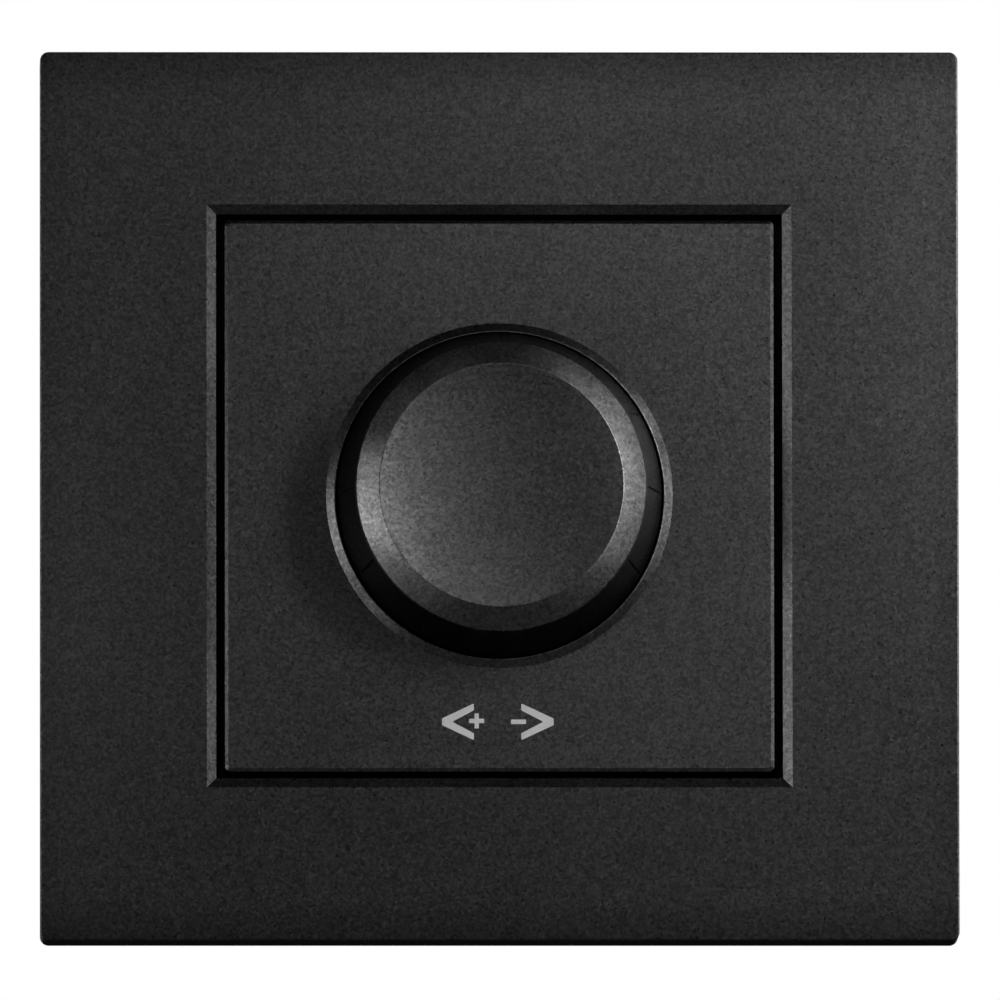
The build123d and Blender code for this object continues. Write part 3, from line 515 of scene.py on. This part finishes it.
face_edge = [(r, sphere_y(r)) for r in (FACE_R - 0.6, FACE_R)]
nose = arc_corner(face_edge[0], face_edge[1], (RIM_R, RIM_Y), 0.15, 8)
shoulder = arc_corner((FACE_R, FACE_Y), (RIM_R, RIM_Y), (SKIRT_R, SKIRT_Y), 0.25, 8)
last = nose[0][0] - 0.1
dish = [(last * k / 26, sphere_y(last * k / 26)) for k in range(27)]
slope = [(cone_r(GROOVE_MID + d), GROOVE_MID + d) for d in (-3.6, -3.48, -3.3, 0.0, 3.3, 3.48, 3.6)]
shell = dish + nose + shoulder + slope + [
    (SKIRT_R, SKIRT_Y), (SKIRT_R, SKIRT_REAR_Y), (SKIRT_R - WALL, SKIRT_REAR_Y), (SKIRT_R - WALL, SKIRT_Y),
    (RIM_R - WALL + 0.1, -18.0), (3.02, -18.0), (3.02, -18.6), (0.0, -18.6)]
bm = bmesh.new()
lathe(bm, shell, AROUND, groove)
# hub, split at its mouth, with the flat of its D bore, and the webs
ring_part(bm, 3.02, 5.0, -18.2, -12.5, 0, 360, 72)
slit = math.degrees(math.asin(0.4 / 4.0))
for start in (90 + slit, 270 + slit):
    ring_part(bm, 3.02, 5.0, -12.55, -10.0, start, start + 180 - 2 * slit, 36)
flat = math.asin(1.64 / 3.02)
slab(bm, [(3.05 * math.cos(flat + (math.pi - 2 * flat) * k / 12), 3.05 * math.sin(flat + (math.pi - 2 * flat) * k / 12))
          for k in range(13)], -18.58, -12.5)
for k in range(6):
    a = math.radians(30 + 60 * k)
    c, s = math.cos(a), math.sin(a)
    slab(bm, [(r * c - w * s, r * s + w * c) for r, w in ((4.6, -0.6), (12.7, -0.6), (12.7, 0.6), (4.6, 0.6))], -18.25, -12.6)
knob = new_piece("knob_turned", bm, M["anthracite_knob_painted_light_and_shade"], smooth_deg=30)
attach(knob, "knob_unit")
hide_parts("knob")


# ------------------------------------------------------------------ camera
CAM_D, CAM_EL, CAM_AZ, CAM_ROLL = 3.5, -5.5, -1.0, -0.08
FIELD = 0.09145  # width of the picture at the front face
AIM = Vector((0.00006, -0.0095, -0.00035))
el, az = math.radians(CAM_EL), math.radians(CAM_AZ)
back = Vector((math.sin(az) * math.cos(el), -math.cos(az) * math.cos(el), math.sin(el)))
cam_data = bpy.data.cameras.new("camera")
cam = bpy.data.objects.new("camera", cam_data)
scene.collection.objects.link(cam)
cam.location = AIM + back * CAM_D
cam.rotation_mode = "QUATERNION"
cam.rotation_quaternion = (-back).to_track_quat("-Z", "Y") @ Quaternion((0, 0, 1), math.radians(CAM_ROLL))
cam_data.sensor_width = 36.0
cam_data.lens = 36.0 * CAM_D / FIELD
cam_data.clip_start, cam_data.clip_end = 0.05, 20.0
scene.camera = cam

scene.view_settings.view_transform = "Standard"
scene.view_settings.look = "None"
scene.view_settings.exposure = 0.0
scene.view_settings.gamma = 1.0


# ------------------------------------------------------------------ stage: pale floor, white surround, soft lights
def stage_material(name, colour, glow):
    """Pale matt surface that stays evenly pale in the picture and throws little light back."""
    mat = bpy.data.materials.new(name)
    mat.use_nodes = True
    t = mat.node_tree
    t.nodes.clear()
    out = t.nodes.new("ShaderNodeOutputMaterial")
    mix = t.nodes.new("ShaderNodeMixShader")
    path = t.nodes.new("ShaderNodeLightPath")
    diffuse = t.nodes.new("ShaderNodeBsdfDiffuse")
    diffuse.inputs["Color"].default_value = (*colour, 1.0)
    shine = t.nodes.new("ShaderNodeEmission")
    shine.inputs["Color"].default_value = (*glow, 1.0)
    t.links.new(path.outputs["Is Camera Ray"], mix.inputs[0])
    t.links.new(diffuse.outputs[0], mix.inputs[1])
    t.links.new(shine.outputs[0], mix.inputs[2])
    t.links.new(mix.outputs[0], out.inputs["Surface"])
    return mat


bm = bmesh.new()
FLOOR_Z = -0.62
bmesh.ops.create_circle(bm, cap_ends=True, segments=96, radius=3.0, matrix=Matrix.Translation((0, 0, FLOOR_Z)))
floor = new_piece("floor", bm, stage_material("floor_pale", grey(0.10), grey(0.86)))

world = bpy.data.worlds.new("studio")
scene.world = world
world.use_nodes = True
wt = world.node_tree
wt.nodes.clear()
w_out = wt.nodes.new("ShaderNodeOutputWorld")
w_mix = wt.nodes.new("ShaderNodeMixShader")
w_path = wt.nodes.new("ShaderNodeLightPath")
w_room = wt.nodes.new("ShaderNodeBackground")
w_white = wt.nodes.new("ShaderNodeBackground")
w_room.inputs["Color"].default_value = (1, 1, 1, 1)
w_room.inputs["Strength"].default_value = 0.004
w_white.inputs["Color"].default_value = (1, 1, 1, 1)
w_white.inputs["Strength"].default_value = 1.0
wt.links.new(w_path.outputs["Is Camera Ray"], w_mix.inputs[0])
wt.links.new(w_room.outputs[0], w_mix.inputs[1])
wt.links.new(w_white.outputs[0], w_mix.inputs[2])
wt.links.new(w_mix.outputs[0], w_out.inputs["Surface"])


def softbox(name, azimuth, elevation, distance, width, height, radiance, aim=(0.0, -0.010, 0.0)):
    """Square softbox seen from the object at that azimuth (0 is the camera's side, 90 the right) and elevation."""
    a, e = math.radians(azimuth), math.radians(elevation)
    away = Vector((math.sin(a) * math.cos(e), -math.cos(a) * math.cos(e), math.sin(e)))
    data = bpy.data.lights.new(name, "AREA")
    data.shape = "RECTANGLE"
    data.size, data.size_y = width, height
    data.energy = radiance * math.pi * width * height
    o = bpy.data.objects.new(name, data)
    scene.collection.objects.link(o)
    o.location = Vector(aim) + away * distance
    o.rotation_mode = "QUATERNION"
    o.rotation_quaternion = away.to_track_quat("Z", "Y")
    o.visible_camera = False
    return o


# panels of light round the front: azimuth, elevation, distance, radiance; each covers about ten degrees
PANELS = [
    (-66, 0, 0.16, 0.89),
    (-54, -30, 0.7, 0.98),
    (-54, -10, 0.7, 3.61),
    (-54, 0, 0.7, 2.89),
    (-48, 10, 0.16, 1.69),
    (-36, -10, 0.7, 4.51),
    (-36, 30, 0.16, 0.36),
    (-30, -30, 0.7, 0.35),
    (-24, 10, 0.16, 0.31),
    (-18, 0, 0.16, 0.34),
    (-18, 42, 0.16, 0.32),
    (-12, 20, 0.16, 0.12),
    (0, 10, 0.16, 0.04),
    (0, 20, 0.16, 0.24),
    (6, -30, 0.7, 0.12),
    (6, 0, 0.16, 0.20),
    (6, 20, 0.16, 0.29),
    (30, -30, 0.7, 0.08),
    (30, 10, 0.16, 2.96),
    (30, 20, 0.3, 9.44),
    (30, 42, 0.16, 0.56),
    (36, -10, 0.7, 3.74),
    (36, 0, 0.7, 5.71),
    (36, 10, 0.7, 14.47),
    (36, 20, 0.3, 2.56),
    (36, 30, 0.16, 1.41),
    (66, -10, 0.16, 1.13),
    (66, 0, 0.16, 1.44),
    (66, 10, 0.16, 1.76),
    (66, 30, 0.7, 2.29),
]
for i, (azimuth, elevation, distance, radiance) in enumerate(PANELS):
    softbox(f"panel_{i + 1}", azimuth, elevation, distance, 0.17 * distance, 0.17 * distance, radiance)

# lights behind the front, for the sides and the rear
softbox("rear_right", 128, 22, 0.8, 0.5, 0.5, 4.0)
softbox("rear_left", -128, 22, 0.8, 0.5, 0.5, 4.0)
softbox("rear_top", 180, 55, 0.9, 0.5, 0.5, 3.4)
softbox("rear_wide_right", 150, 8, 1.3, 0.7, 1.0, 1.2)
softbox("rear_wide_left", -150, 8, 1.3, 0.7, 1.0, 1.2)
